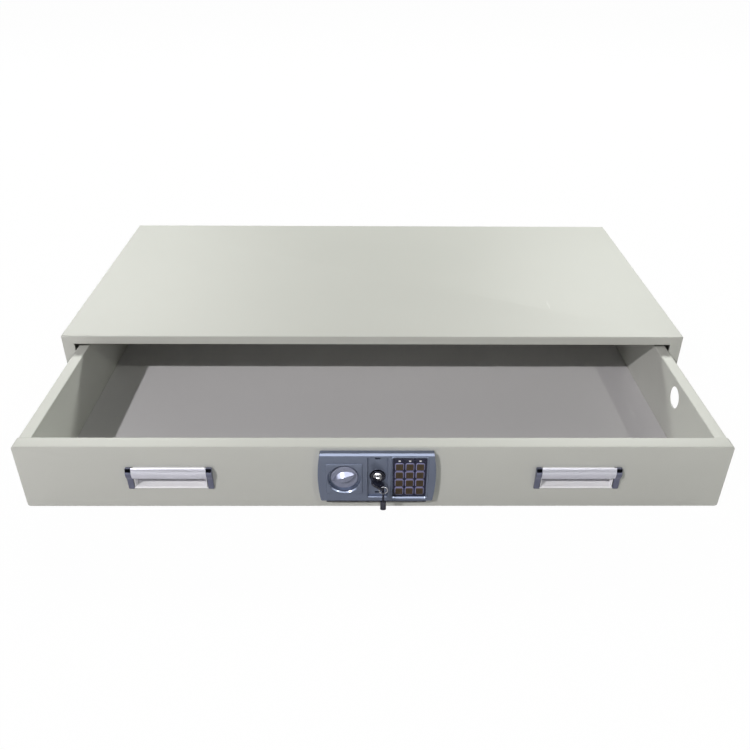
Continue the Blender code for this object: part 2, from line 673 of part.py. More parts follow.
def key_lock():
    """Fixed housing, turning plug with its cam, the key in it, the ring and the spare key."""
    spot = facing_front(CYLINDER_X, FACE, CYLINDER_Z)
    wall = [(0.0095, 0.0075), (0.0095, -0.0280), (0.0063, -0.0280), (0.0063, 0.0075)]
    DRAWER.hold(turned("lock_cylinder_housing", wall, spot, ZINC))

    body = Body("key_body", (CYLINDER_X, FACE, CYLINDER_Z), DRAWER)
    plug_front, plug_back, plug_r = 0.0080, -0.0283, 0.0060
    slot_in, slot_out, slot_end = 0.0030, 0.0043, 0.0010
    plug = turned("lock_plug", [(0, plug_front), (slot_in, plug_front), (slot_in, slot_end),
                                (slot_out, slot_end), (slot_out, plug_front), (plug_r, plug_front),
                                (plug_r, plug_back), (0, plug_back)], spot, STEEL)
    cam_front = FACE - plug_back + GAP
    cam = box("lock_cam", (CYLINDER_X - 0.0045, cam_front, CYLINDER_Z - 0.0045),
              (CYLINDER_X + 0.0045, cam_front + 0.0020, CYLINDER_Z + 0.0030), STEEL)
    # the bow lies in the plane of the key's axis and a line that falls to the right
    flat = Matrix.Translation((CYLINDER_X, FACE - BOW_START, CYLINDER_Z))
    flat = flat @ Matrix.Rotation(BOW_TILT, 4, "Y") @ Matrix.Rotation(math.pi, 4, "X")
    body.hold(plug, cam, *key("key_bow", "key_shank", flat))

    centre = flat @ Vector((BRIDGE, HOLE_ALONG, 0)) - Vector((0, 0, RING_DROP))
    ring_body = Body("key_ring_body", centre + Vector((0, 0, RING_R - RING_WIRE)), body)
    bpy.ops.mesh.primitive_torus_add(major_radius=RING_R, minor_radius=RING_WIRE, major_segments=28,
                                     minor_segments=8, location=centre, rotation=(math.radians(90), 0, 0))
    ring = bpy.context.object
    ring.name = "key_ring"
    ring.data.materials.append(STEEL)
    ring.data.shade_smooth()
    for holder in list(ring.users_collection):
        holder.objects.unlink(ring)
    PARTS.objects.link(ring)
    ring_body.hold(ring)

    # seen edge on from the front: the bow runs front to back, and the shank hangs down
    pin = centre - Vector((0, 0, RING_R))
    spare_body = Body("spare_key_body", pin, ring_body)
    hole_centre = pin - Vector((0, 0, HOLE_R - RING_WIRE - GAP))
    edge_on = Matrix(((0, 0, -1, 0), (-1, 0, 0, 0), (0, 1, 0, 0), (0, 0, 0, 1)))
    hang = Matrix.Translation(hole_centre) @ Matrix.Rotation(-SPARE_TILT, 4, "X") @ edge_on
    hang = hang @ Matrix.Translation((-HOLE_ACROSS, -HOLE_ALONG, 0))
    spare_body.hold(*key("spare_key_bow", "spare_key_shank", hang))


# ---------------------------------------------------------------- inside the lock case
def lock_case():
    """A box behind the front holds the bolt carriage, two bolts and the solenoid."""
    half = 0.060
    case = open_box("lock_case", (LOCK_X - half, PANEL_BACK + GAP, FLOOR_TOP + GAP),
                    (LOCK_X + half, CASE_BACK, CASE_TOP), ZINC, ("-y",))
    lid = box("battery_cover", (LOCK_X + 0.008, CASE_BACK + GAP, FLOOR_TOP + 0.010),
              (LOCK_X + 0.052, CASE_BACK + 0.0020, CASE_TOP - 0.010), BLACK_PLASTIC)
    carriage_low, carriage_high = 0.050, 0.060
    carriage_half = 0.034
    carriage = box("bolt_carriage", (LOCK_X - carriage_half, BOLT_Y - 0.004, carriage_low),
                   (LOCK_X + carriage_half, BOLT_Y + 0.004, carriage_high), STEEL)
    body = Body("bolts_body", (LOCK_X, BOLT_Y, carriage_low), DRAWER)
    body.hold(carriage)
    top = carriage_low - GAP
    for side, word in ((-1, "left"), (1, "right")):
        x = LOCK_X + side * BOLT_SPREAD
        body.hold(cylinder(f"bolt_{word}", (x, BOLT_Y, (BOLT_LOW + top) / 2), BOLT_R, top - BOLT_LOW, "z", STEEL))
        cut(case, cylinder(f"case_hole_{word}", (x, BOLT_Y, FLOOR_TOP), BOLT_R + 0.0008, 0.006, "z", None))

    height = (carriage_low + carriage_high) / 2
    tip = LOCK_X + carriage_half + GAP
    plunger_length = 0.0150
    low = (tip + 0.0050, BOLT_Y - 0.007, height - 0.007)
    solenoid = box("solenoid", low, (tip + 0.0220, BOLT_Y + 0.007, height + 0.007), ZINC)
    cut(solenoid, cylinder("solenoid_bore", (tip + 0.0100, BOLT_Y, height), 0.0025, 0.020, "x", None, 16))
    plunger_body = Body("plunger_body", (tip, BOLT_Y, height), DRAWER)
    plunger_body.hold(cylinder("solenoid_plunger", (tip + plunger_length / 2, BOLT_Y, height), 0.0020,
                               plunger_length, "x", STEEL, 16))
    DRAWER.hold(case, lid, solenoid)


cabinet()
slides()
bolt_strike()
drawer_box()
front_panel()
handles()
lock_front()
knob()
key_lock()
lock_case()
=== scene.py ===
"""Looks of the under-desk locking drawer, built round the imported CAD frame.

Metres, +Z up, -Y is the front. Sheet-metal pieces are folded again with real bend radii,
the lock, pulls, knob, keys and slides get fine meshes, and every piece gets its finish.
"""
import json
import math

import bmesh
import bpy
from mathutils import Matrix, Vector


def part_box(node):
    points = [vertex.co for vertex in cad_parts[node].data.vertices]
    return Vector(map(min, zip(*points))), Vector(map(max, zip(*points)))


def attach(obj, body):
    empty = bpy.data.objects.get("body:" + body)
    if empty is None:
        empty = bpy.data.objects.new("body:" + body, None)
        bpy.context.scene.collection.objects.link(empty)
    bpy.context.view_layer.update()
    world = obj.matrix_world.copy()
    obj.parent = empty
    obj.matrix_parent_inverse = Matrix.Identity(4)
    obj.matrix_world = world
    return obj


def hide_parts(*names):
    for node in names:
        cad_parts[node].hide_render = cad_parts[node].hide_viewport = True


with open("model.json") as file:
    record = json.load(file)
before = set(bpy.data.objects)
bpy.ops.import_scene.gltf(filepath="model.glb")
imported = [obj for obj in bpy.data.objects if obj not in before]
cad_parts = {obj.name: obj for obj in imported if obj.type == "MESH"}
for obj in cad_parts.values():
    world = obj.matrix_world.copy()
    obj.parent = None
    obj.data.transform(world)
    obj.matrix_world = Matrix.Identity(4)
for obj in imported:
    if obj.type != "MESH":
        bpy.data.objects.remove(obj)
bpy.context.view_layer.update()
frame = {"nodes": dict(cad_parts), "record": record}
NODES = frame["nodes"]

# ---- sizes
SHEET = 0.0012          # cabinet and drawer steel
FOLD = 0.0016           # outer radius of a fold
GAP = 0.0003            # between pieces that touch
CRISP = 0.0001          # edge of a cutter, too small to show
GENTLE_TURN = 0.25      # radians; a line's smaller turns are left as they are
SQUARE_ON = 0.9         # a face faces along an axis if its normal has more than this of it
SIDES = (("left", -1), ("right", 1))
FLANGE_SIDE = 0.019
FLANGE_TOP = 0.014
LIP_BASE = 0.014
RIM_HEM = 0.007
FRONT_CORNER = 0.004
WELDS = 12
WELD_MARGIN = 0.02
WELD_DROP = 0.006       # from the top of the back sheet
BRACKET_SHEET = 0.0015
PUNCHED_AT = (-0.82, -0.45, 0.0, 0.45, 0.82)    # shares of a slide member's half length
PUNCHED_HALF = (0.004, 0.006, 0.0022)
CABLE_HOLE = (-0.3495, 0.0913)      # Y and Z of its centre
CABLE_HOLE_R = 0.017
HANDLE_OPENING = (0.0986, 0.0336)   # width and height let into the front for each pull
LOCK_X = 0.0033                     # middle of the lock
KNOB_Z = 0.0725
SHAFT_HOLE_R = 0.0050
HOUSING_HOLE_R = 0.0100


def low(node):
    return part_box(node)[0]


def high(node):
    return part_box(node)[1]


def middle(node):
    return (low(node) + high(node)) / 2


FACE = low("front_panel").y             # outer face of the drawer front
PLATE = low("lock_faceplate").y         # front of the lock's knob boss and keypad rim


# ---- node helpers
def feed(tree, socket, value):
    """Links an output to the socket, or sets the socket to a plain value."""
    if isinstance(value, bpy.types.NodeSocket):
        tree.links.new(value, socket)
    else:
        socket.default_value = value


def map_range(tree, value, *limits):
    """A value carried from one range to another, and held at both ends."""
    made = tree.nodes.new("ShaderNodeMapRange")
    for name, number in zip(("From Min", "From Max", "To Min", "To Max"), limits):
        made.inputs[name].default_value = number
    feed(tree, made.inputs["Value"], value)
    return made.outputs["Result"]


def calculate(tree, operation, *values):
    made = tree.nodes.new("ShaderNodeMath")
    made.operation = operation
    for socket, value in zip(made.inputs, values):
        feed(tree, socket, value)
    return made.outputs["Value"]


def dot_product(tree, value, direction):
    made = tree.nodes.new("ShaderNodeVectorMath")
    made.operation = "DOT_PRODUCT"
    made.inputs[1].default_value = direction
    feed(tree, made.inputs[0], value)
    return made.outputs["Value"]


def blend(tree, share, first, second):
    """The first shader at share 0, the second at share 1."""
    made = tree.nodes.new("ShaderNodeMixShader")
    for socket, value in zip(made.inputs, (share, first, second)):
        feed(tree, socket, value)
    return made.outputs["Shader"]


# ---- materials
class Look:
    """A node material; its textures lie in the object's own metres, so they move with the piece."""

    def __init__(self, name, colour, roughness, metallic=0.0):
        self.material = bpy.data.materials.new(name)
        self.material.use_nodes = True
        self.tree = self.material.node_tree
        self.nodes = self.tree.nodes
        self.shader = self.nodes["Principled BSDF"]
        self.colour = colour
        self.roughness = roughness
        self.set("Base Color", (*colour, 1.0))
        self.set("Roughness", roughness)
        self.set("Metallic", metallic)
        self.place = self.nodes.new("ShaderNodeTexCoord").outputs["Object"]

    def set(self, name, value):
        self.shader.inputs[name].default_value = value

    def join(self, output, name):
        self.tree.links.new(output, self.shader.inputs[name])

    def noise(self, scale, stretch=(1, 1, 1), detail=2.0):
        mapping = self.nodes.new("ShaderNodeMapping")
        mapping.inputs["Scale"].default_value = stretch
        self.tree.links.new(self.place, mapping.inputs["Vector"])
        made = self.nodes.new("ShaderNodeTexNoise")
        made.inputs["Scale"].default_value = scale
        made.inputs["Detail"].default_value = detail
        self.tree.links.new(mapping.outputs["Vector"], made.inputs["Vector"])
        return made.outputs["Fac"]

    def cells(self, scale):
        made = self.nodes.new("ShaderNodeTexVoronoi")
        made.inputs["Scale"].default_value = scale
        self.tree.links.new(self.place, made.inputs["Vector"])
        return made.outputs["Color"]

    def remap(self, value, *limits):
        return map_range(self.tree, value, *limits)

    def times(self, first, second):
        return calculate(self.tree, "MULTIPLY", first, second)

    def mix(self, share, first, second):
        """The first colour at share 0, the second at share 1."""
        made = self.nodes.new("ShaderNodeMix")
        made.data_type = "RGBA"
        feed(self.tree, made.inputs["Factor"], share)
        for socket, value in ((made.inputs[6], first), (made.inputs[7], second)):
            feed(self.tree, socket, (*value, 1.0) if isinstance(value, tuple) else value)
        return made.outputs[2]

    def shade(self, value, spread):
        """Base colour that varies up and down by a share, following a 0 to 1 value."""
        dark = tuple(c * (1 - spread) for c in self.colour)
        light = tuple(min(1.0, c * (1 + spread)) for c in self.colour)
        return self.mix(value, dark, light)

    def bump(self, height, distance):
        made = self.nodes.new("ShaderNodeBump")
        made.inputs["Distance"].default_value = distance
        self.tree.links.new(height, made.inputs["Height"])
        self.join(made.outputs["Normal"], "Normal")

    def vary_roughness(self, value, spread):
        self.join(self.remap(value, 0.3, 0.7, self.roughness - spread, self.roughness + spread),
                  "Roughness")


def facing_up(look):
    """A value that is 1 where the surface faces up in the scene, and 0 where it doesn't."""
    normal = look.nodes.new("ShaderNodeNewGeometry").outputs["Normal"]
    return look.remap(dot_product(look.tree, normal, (0, 0, 1)), 0.9, 0.98, 0.0, 1.0)


SCRATCHED = (0.72, 0.725, 0.70)


def powder_coat(name, colour):
    """Light grey powder coat: orange peel, faint mottling and a few hairline scratches on top."""
    look = Look(name, colour, 0.52)
    broad = look.noise(3.5, detail=3.0)
    fine = look.noise(850.0)
    speckle = look.remap(fine, 0.35, 0.65, 0.0, 1.0)
    mottled = look.mix(speckle, look.shade(broad, 0.018), look.shade(broad, 0.05))
    hairline = look.noise(9.0, stretch=(9.0, 1.2, 1.0), detail=6.0)
    scratch = look.remap(hairline, 0.715, 0.735, 0.0, 0.35)
    patch = look.noise(2.3, stretch=(1.3, 1.0, 1.0), detail=0.0)
    scratch = look.times(scratch, look.remap(patch, 0.5, 0.6, 0.0, 1.0))
    scratch = look.times(scratch, facing_up(look))
    look.join(look.mix(scratch, mottled, SCRATCHED), "Base Color")
    look.vary_roughness(fine, 0.05)
    look.bump(look.noise(1300.0, detail=1.0), 0.00004)
    return look.material


def zinc_steel():
    look = Look("zinc_steel", (0.56, 0.57, 0.59), 0.36, metallic=1.0)
    look.join(look.shade(look.cells(160.0), 0.10), "Base Color")
    look.vary_roughness(look.noise(60.0), 0.08)
    look.bump(look.noise(900.0), 0.00001)
    return look.material


def bright_steel():
    look = Look("bright_steel", (0.72, 0.72, 0.74), 0.24, metallic=1.0)
    turned_marks = look.noise(500.0, stretch=(0.05, 1.0, 1.0))
    look.join(look.shade(turned_marks, 0.06), "Base Color")
    look.vary_roughness(turned_marks, 0.06)
    return look.material


def shaded_nickel():
    """Smoked nickel, darker than the turned steel beside it; its dark colour is painted shade, standing in
    for the dark reflections on the lock housing and the spare key's shank.
    """
    look = Look("shaded_nickel", (0.075, 0.075, 0.095), 0.15, metallic=1.0)
    marks = look.noise(400.0, stretch=(0.05, 1.0, 1.0))
    look.join(look.shade(marks, 0.08), "Base Color")
    look.vary_roughness(marks, 0.05)
    return look.material


def chrome():
    # Its dark blue-grey colour is painted reflection: the chrome is darkened and tinted so that it shows
    # the dark, bluish surroundings it mirrors.
    look = Look("chrome", (0.21, 0.22, 0.31), 0.09, metallic=1.0)
    haze = look.noise(70.0, detail=3.0)
    look.join(look.shade(haze, 0.04), "Base Color")
    look.vary_roughness(haze, 0.03)
    return look.material


def satin_aluminium():
    look = Look("satin_aluminium", (0.80, 0.80, 0.90), 0.38, metallic=0.75)
    grain = look.noise(700.0, stretch=(0.02, 1.0, 1.0))
    look.join(look.shade(grain, 0.05), "Base Color")
    look.vary_roughness(grain, 0.06)
    look.bump(grain, 0.00001)
    return look.material


def cup_plastic():
    look = Look("cup_plastic", (0.96, 0.955, 0.99), 0.22)
    look.join(look.shade(look.noise(30.0), 0.03), "Base Color")
    look.vary_roughness(look.noise(300.0), 0.04)
    look.bump(look.noise(1600.0), 0.00001)
    return look.material


def metallic_plastic(name, colour, roughness, metallic):
    """Blue-grey plastic with a fine metal flake in it."""
    look = Look(name, colour, roughness, metallic)
    flakes = look.cells(2600.0)
    coloured = look.mix(look.noise(25.0), look.shade(flakes, 0.03), look.shade(flakes, 0.05))
    look.join(coloured, "Base Color")
    look.vary_roughness(look.noise(500.0), 0.05)
    look.bump(look.noise(2200.0), 0.000008)
    return look.material


def moulded(name, colour, roughness):
    """Moulded plastic with a fine spark-eroded texture."""
    look = Look(name, colour, roughness)
    look.join(look.shade(look.noise(40.0), 0.12), "Base Color")
    look.vary_roughness(look.noise(250.0), 0.06)
    look.bump(look.noise(1800.0), 0.00001)
    return look.material


def circuit_board():
    lacquer, track = (0.03, 0.16, 0.07), (0.05, 0.24, 0.11)
    look = Look("circuit_board", lacquer, 0.45)
    tracks = look.remap(look.noise(240.0, stretch=(1.0, 1.0, 0.15)), 0.52, 0.55, 0.0, 1.0)
    look.join(look.mix(tracks, lacquer, track), "Base Color")
    return look.material


LOOKS = {
    "powder_coat": powder_coat("powder_coat", (0.575, 0.580, 0.545)),
    "zinc_steel": zinc_steel(),
    "bright_steel": bright_steel(),
    "chrome": chrome(),
    "satin_aluminium": satin_aluminium(),
    "cup_plastic": cup_plastic(),
    "lock_plastic": metallic_plastic("lock_plastic", (0.195, 0.226, 0.312), 0.21, 0.50),
    "knob_plastic": metallic_plastic("knob_plastic", (0.31, 0.33, 0.44), 0.19, 0.50),
    "keypad_black": moulded("keypad_black", (0.006, 0.007, 0.035), 0.30),
    "key_face": moulded("key_face", (0.048, 0.027, 0.007), 0.42),
    "light_lens": moulded("light_lens", (0.90, 0.90, 0.95), 0.20),
    "circuit_board": circuit_board(),
    "black_plastic": moulded("black_plastic", (0.006, 0.006, 0.018), 0.30),
}
# The drawer floor's powder coat: its slight pink tint is the floor's own, and its extra lightness over the
# outer coat is painted light, making up for light the floor lacks.
FLOOR_COAT_LIGHTENED = powder_coat("powder_coat_floor_lightened", (0.670, 0.660, 0.675))
KEY_BORDER = moulded("key_border", (0.27, 0.27, 0.47), 0.35)
SHADED_NICKEL = shaded_nickel()
KEY_INK = moulded("key_ink", (0.020, 0.012, 0.004), 0.45)


# ---- mesh helpers
def show(name, data):
    made = bpy.data.objects.new(name, data)
    bpy.context.scene.collection.objects.link(made)
    return made


def add_object(name, bm):
    mesh = bpy.data.meshes.new(name)
    bmesh.ops.recalc_face_normals(bm, faces=bm.faces)
    bm.to_mesh(mesh)
    bm.free()
    return show(name, mesh)


def apply_modifiers(piece):
    bpy.context.view_layer.update()
    graph = bpy.context.evaluated_depsgraph_get()
    mesh = bpy.data.meshes.new_from_object(piece.evaluated_get(graph))
    piece.modifiers.clear()
    piece.data = mesh


def combine(piece, tool, operation):
    step = piece.modifiers.new(operation, "BOOLEAN")
    step.object = tool
    step.operation = operation
    step.solver = "EXACT"
    apply_modifiers(piece)
    bpy.data.objects.remove(tool, do_unlink=True)


def cut(piece, *tools):
    for tool in tools:
        combine(piece, tool, "DIFFERENCE")


def join(piece, *tools):
    for tool in tools:
        combine(piece, tool, "UNION")


def dress(piece, slot, body, replaced=(), angle=32.0, finish=None):
    """Smooths a piece, gives it its finish, by default the slot's own, and hangs it on its body."""
    mesh = piece.data
    mesh.shade_smooth()
    mesh.set_sharp_from_angle(angle=math.radians(angle))
    mesh.materials.append(finish or LOOKS[slot])
    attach(piece, body)
    if replaced:
        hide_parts(*replaced)


def rounded_line(points, radius, steps=5):
    """A polyline with its inner corners rounded: (point, normal) pairs."""
    def normal(a, b):
        along = (b - a).normalized()
        return Vector((-along.y, along.x))

    spots = [Vector(p) for p in points]
    line = [(spots[0], normal(spots[0], spots[1]))]
    for before, corner, after in zip(spots, spots[1:], spots[2:]):
        enter = (corner - before).normalized()
        leave = (after - corner).normalized()
        turn = math.atan2(enter.x * leave.y - enter.y * leave.x, enter.dot(leave))
        if abs(turn) < GENTLE_TURN:
            line.append((corner, normal(before, corner)))
            continue
        back = radius * math.tan(abs(turn) / 2)
        start = corner - enter * back
        side = 1.0 if turn > 0 else -1.0
        first = normal(before, corner)
        centre = start + first * radius * side
        for step in range(steps + 1):
            spin = Matrix.Rotation(turn * step / steps, 2)
            line.append((centre - (spin @ first) * radius * side, spin @ first))
    line.append((spots[-1], normal(spots[-2], spots[-1])))
    return line


def strip(name, points, place, half_length, thick=SHEET, fold=FOLD):
    """A folded strip: its midline drawn in the local XY plane, its length along local Z."""
    line = rounded_line(points, fold - thick / 2)
    bm = bmesh.new()
    rows = []
    for depth in (-half_length, half_length):
        for side in (0.5, -0.5):
            rows.append([bm.verts.new((*(p + n * thick * side), depth)) for p, n in line])
    near_up, near_down, far_up, far_down = rows
    last = len(line) - 1
    for i in range(last):
        bm.faces.new((near_up[i], near_up[i + 1], far_up[i + 1], far_up[i]))
        bm.faces.new((near_down[i + 1], near_down[i], far_down[i], far_down[i + 1]))
        bm.faces.new((near_up[i + 1], near_up[i], near_down[i], near_down[i + 1]))
        bm.faces.new((far_up[i], far_up[i + 1], far_down[i + 1], far_down[i]))
    for end in (0, last):
        bm.faces.new((near_up[end], far_up[end], far_down[end], near_down[end]))
    bmesh.ops.transform(bm, matrix=place, verts=bm.verts)
    return add_object(name, bm)


# Local X, Y and Z of a place seen from the front are the scene's X, Z and -Y, which is out of the front.
def from_front(x, y, z):
    return Matrix.Translation((x, y, z)) @ Matrix.Rotation(math.pi / 2, 4, "X")


# Local X, Y and Z of a place seen from the side are the scene's Y, Z and X.
SIDEWAYS = Matrix(((0, 0, 1, 0), (1, 0, 0, 0), (0, 1, 0, 0), (0, 0, 0, 1)))


def from_side(x, y=0.0, z=0.0):
    return Matrix.Translation((x, y, z)) @ SIDEWAYS


def rounded_rectangle(width, height, radius, steps=6):
    points = []
    for quarter, (x, y) in enumerate(((1, 1), (-1, 1), (-1, -1), (1, -1))):
        for step in range(steps + 1):
            angle = math.pi / 2 * (quarter + step / steps)
            points.append((x * (width / 2 - radius) + radius * math.cos(angle),
                           y * (height / 2 - radius) + radius * math.sin(angle)))
    return points


def circle(radius, steps):
    return [(radius * math.cos(2 * math.pi * s / steps), radius * math.sin(2 * math.pi * s / steps))
            for s in range(steps)]


def loft(name, rings, place):
    """A closed solid through (outline, height) rings that share their number of points."""
    bm = bmesh.new()
    rows = [[bm.verts.new((x, y, height)) for x, y in outline] for outline, height in rings]
    count = len(rows[0])
    for lower, upper in zip(rows, rows[1:]):
        for i in range(count):
            j = (i + 1) % count
            bm.faces.new((lower[i], lower[j], upper[j], upper[i]))
    bm.faces.new(rows[0][::-1])
    bm.faces.new(rows[-1])
    bmesh.ops.transform(bm, matrix=place, verts=bm.verts)
    return add_object(name, bm)


def shrink(outline, amount):
    """The outline moved inwards along its corner bisectors; a negative amount moves it outwards."""
    spots = [Vector(p) for p in outline]
    moved = []
    for before, here, after in zip(spots[-1:] + spots[:-1], spots, spots[1:] + spots[:1]):
        enter = (here - before).normalized()
        leave = (after - here).normalized()
        first = Vector((-enter.y, enter.x))
        second = Vector((-leave.y, leave.x))
        moved.append(here + (first + second) * amount / (1 + first.dot(second)))
    return moved


def soft_extrude(name, outline, start, end, place, start_edge=0.0, end_edge=0.0, steps=4):
    """An anticlockwise outline pulled along local Z; either end can have a quarter-round edge."""
    rings = []
    for height, inward, edge in ((start, 1, start_edge), (end, -1, end_edge)):
        if edge:
            soft = []
            for step in range(steps + 1):
                angle = math.pi / 2 * step / steps
                soft.append((shrink(outline, edge * (1 - math.sin(angle))),
                             height + inward * edge * (1 - math.cos(angle))))
        else:
            soft = [(outline, height)]
        rings += soft if inward > 0 else soft[::-1]
    return loft(name, rings, place)


def rounded_block(name, low_corner, high_corner, edge, corner, axis="y"):
    """A block with round corners seen along the axis, y or x, and soft edges on those two faces."""
    centre = (Vector(low_corner) + Vector(high_corner)) / 2
    size = Vector(high_corner) - Vector(low_corner)
    if axis == "y":
        width, height, depth, place = size.x, size.z, size.y, from_front(*centre)
    else:
        width, height, depth, place = size.y, size.z, size.x, from_side(*centre)
    outline = rounded_rectangle(width, height, corner)
    return soft_extrude(name, outline, -depth / 2, depth / 2, place, edge, edge)


def turned(name, profile, place, steps=64):
    """A closed turned solid about local Z from (radius, height) pairs."""
    bm = bmesh.new()
    rows = []
    for radius, height in profile:
        if radius < 1e-7:
            rows.append([bm.verts.new((0, 0, height))])
        else:
            rows.append([bm.verts.new((x, y, height)) for x, y in circle(radius, steps)])
    pairs = list(zip(rows, rows[1:]))
    if len(rows[0]) > 1:
        pairs.append((rows[-1], rows[0]))
    for first, second in pairs:
        for i in range(steps):
            j = (i + 1) % steps
            a = first[i % len(first)], first[j % len(first)]
            b = second[j % len(second)], second[i % len(second)]
            corners = [v for n, v in enumerate((*a, *b)) if v not in (*a, *b)[:n]]
            if len(corners) > 2:
                bm.faces.new(corners)
    bmesh.ops.transform(bm, matrix=place, verts=bm.verts)
    return add_object(name, bm)


def node_block(node):
    """A block as large as the node and in its place."""
    lowest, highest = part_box(node)
    bm = bmesh.new()
    bmesh.ops.create_cube(bm, size=1.0)
    bmesh.ops.scale(bm, vec=highest - lowest, verts=bm.verts)
    bmesh.ops.translate(bm, vec=(lowest + highest) / 2, verts=bm.verts)
    return bm


def thicken(piece):
    """Turns an open surface into sheet metal, inwards."""
    sheet = piece.modifiers.new("sheet", "SOLIDIFY")
    sheet.thickness = SHEET
    sheet.offset = -1.0
    sheet.use_even_offset = True
    apply_modifiers(piece)


def soften(node, width=0.0003):
    """Rounds the sharp edges of a CAD node that is kept as it is."""
    piece = NODES[node]
    weld = piece.modifiers.new("weld", "WELD")
    weld.merge_threshold = 0.00001
    edge = piece.modifiers.new("soft edges", "BEVEL")
    edge.width = width
    edge.segments = 2
    edge.limit_method = "ANGLE"
    edge.angle_limit = math.radians(40)


# ---- cabinet
def cabinet_wrap():
    """Top, sides and the three mouth flanges, folded from one sheet."""
    highest = high("cabinet_shell")
    bm = node_block("cabinet_shell")
    bm.normal_update()
    open_sides = [f for f in bm.faces if f.normal.z < -SQUARE_ON or f.normal.y > SQUARE_ON]
    bmesh.ops.delete(bm, geom=open_sides, context="FACES")
    inner_x = highest.x - FLANGE_SIDE
    inner_z = highest.z - FLANGE_TOP
    for spot, normal in (((inner_x, 0, 0), (1, 0, 0)), ((-inner_x, 0, 0), (1, 0, 0)),
                         ((0, 0, inner_z), (0, 0, 1))):
        front = [f for f in bm.faces if f.normal.y < -SQUARE_ON]
        edges = {e for f in front for e in f.edges}
        corners = {v for f in front for v in f.verts}
        bmesh.ops.bisect_plane(bm, geom=[*front, *edges, *corners], dist=1e-7,
                               plane_co=spot, plane_no=normal)
    mouth = [f for f in bm.faces if f.normal.y < -SQUARE_ON
             and abs(f.calc_center_median().x) < inner_x and f.calc_center_median().z < inner_z]
    bmesh.ops.delete(bm, geom=mouth, context="FACES")
    folds = [e for e in bm.edges if len(e.link_faces) == 2 and e.calc_face_angle() > 1.0]
    bmesh.ops.bevel(bm, geom=folds, offset=FOLD, segments=5, profile=0.5, affect="EDGES")
    wrap = add_object("cabinet_wrap", bm)
    thicken(wrap)
    dress(wrap, "powder_coat", "cabinet", ["cabinet_shell"])


def cabinet_pan():
    """Base sheet with its front lip between the side flanges."""
    lowest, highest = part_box("cabinet_base")
    mid = SHEET / 2
    front = lowest.y
    base = strip("cabinet_pan", [(highest.y, mid), (front + mid, mid), (front + mid, LIP_BASE)],
                 from_side(0), highest.x)
    for side in (-1, 1):
        near, far = sorted((side * (high("cabinet_shell").x - FLANGE_SIDE - GAP), side * 1.0))
        cut(base, rounded_block("notch", (near, front - 0.01, -0.01), (far, front + (SHEET + GAP), 0.02),
                                CRISP, 0.0003))
    dress(base, "powder_coat", "cabinet", ["cabinet_base"])


def cabinet_rear():
    """Back sheet with a row of soft spot welds along its top."""
    lowest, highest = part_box("cabinet_back")
    back = rounded_block("cabinet_rear", lowest, highest, 0.0004, 0.0010)
    dress(back, "powder_coat", "cabinet", ["cabinet_back"])
    profile = [(0, 0.00025), (0.0012, 0.00022), (0.0024, 0.00008), (0.0030, -0.0002), (0, -0.0002)]
    outwards = Matrix.Rotation(-math.pi / 2, 4, "X")
    for index in range(WELDS):
        x = lowest.x + WELD_MARGIN + (highest.x - lowest.x - 2 * WELD_MARGIN) * index / (WELDS - 1)
        place = Matrix.Translation((x, highest.y, highest.z - WELD_DROP)) @ outwards
        dress(turned(f"spot_weld_{index + 1}", profile, place, 24), "powder_coat", "cabinet")


cabinet_wrap()
cabinet_pan()
cabinet_rear()


# ---- slides
def slide_members():
    """Rolled C sections with rounded bends and punched slots."""
    for word, side in SIDES:
        bodies = {"slide_bracket": "cabinet", "slide_outer": "cabinet", "slide_inner": "drawer",
                  "slide_middle": f"middle_slide_{word}"}
        for family, body in bodies.items():
            node = f"{family}_{word}"
            lowest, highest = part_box(node)
            thick = BRACKET_SHEET if family == "slide_bracket" else SHEET
            outward = family in ("slide_bracket", "slide_inner")
            web_side = side if outward else -side
            web = lowest.x if web_side > 0 else highest.x
            open_x = highest.x if web_side > 0 else lowest.x
            mid = thick / 2
            section = [(open_x, lowest.z + mid), (web + web_side * mid, lowest.z + mid),
                       (web + web_side * mid, highest.z - mid), (open_x, highest.z - mid)]
            half = (highest.y - lowest.y) / 2
            centre_y = (lowest.y + highest.y) / 2
            rail = strip(f"{family}_rolled_{word}", section, from_front(0, centre_y, 0), half,
                         thick, thick * 1.6)
            for share in PUNCHED_AT:
                spot = (web, centre_y + share * half, (lowest.z + highest.z) / 2)
                near = [at - reach for at, reach in zip(spot, PUNCHED_HALF)]
                far = [at + reach for at, reach in zip(spot, PUNCHED_HALF)]
                cut(rail, rounded_block("slot", near, far, CRISP, PUNCHED_HALF[2] - CRISP, "x"))
            dress(rail, "zinc_steel", body, [node])


slide_members()


# ---- drawer
def drawer_walls():
    """Side walls with outward rolled rims; the right one has the cable hole."""
    for word, side in SIDES:
        lowest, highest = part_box(f"drawer_side_{word}")
        inner = lowest.x if side > 0 else -highest.x
        outer = highest.x if side > 0 else -lowest.x
        mid = SHEET / 2
        section = [(side * (inner + mid), lowest.z), (side * (inner + mid), highest.z - mid),
                   (side * (outer - mid), highest.z - mid), (side * (outer - mid), highest.z - RIM_HEM)]
        wall = strip(f"drawer_wall_{word}", section, from_front(0, (lowest.y + highest.y) / 2, 0),
                     (highest.y - lowest.y) / 2)
        if side > 0:
            spot = Matrix.Translation((inner, *CABLE_HOLE)) @ Matrix.Rotation(math.pi / 2, 4, "Y")
            cut(wall, soft_extrude("cable_hole", circle(CABLE_HOLE_R, 96), -0.01, 0.01, spot))
        dress(wall, "powder_coat", "drawer", [f"drawer_side_{word}"])


def drawer_rear():
    lowest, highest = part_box("drawer_back")
    mid = SHEET / 2
    rear = strip("drawer_rear", [(lowest.y + mid, lowest.z), (lowest.y + mid, highest.z - mid),
                                 (highest.y, highest.z - mid)], from_side(0), highest.x)
    dress(rear, "powder_coat", "drawer", ["drawer_back"])


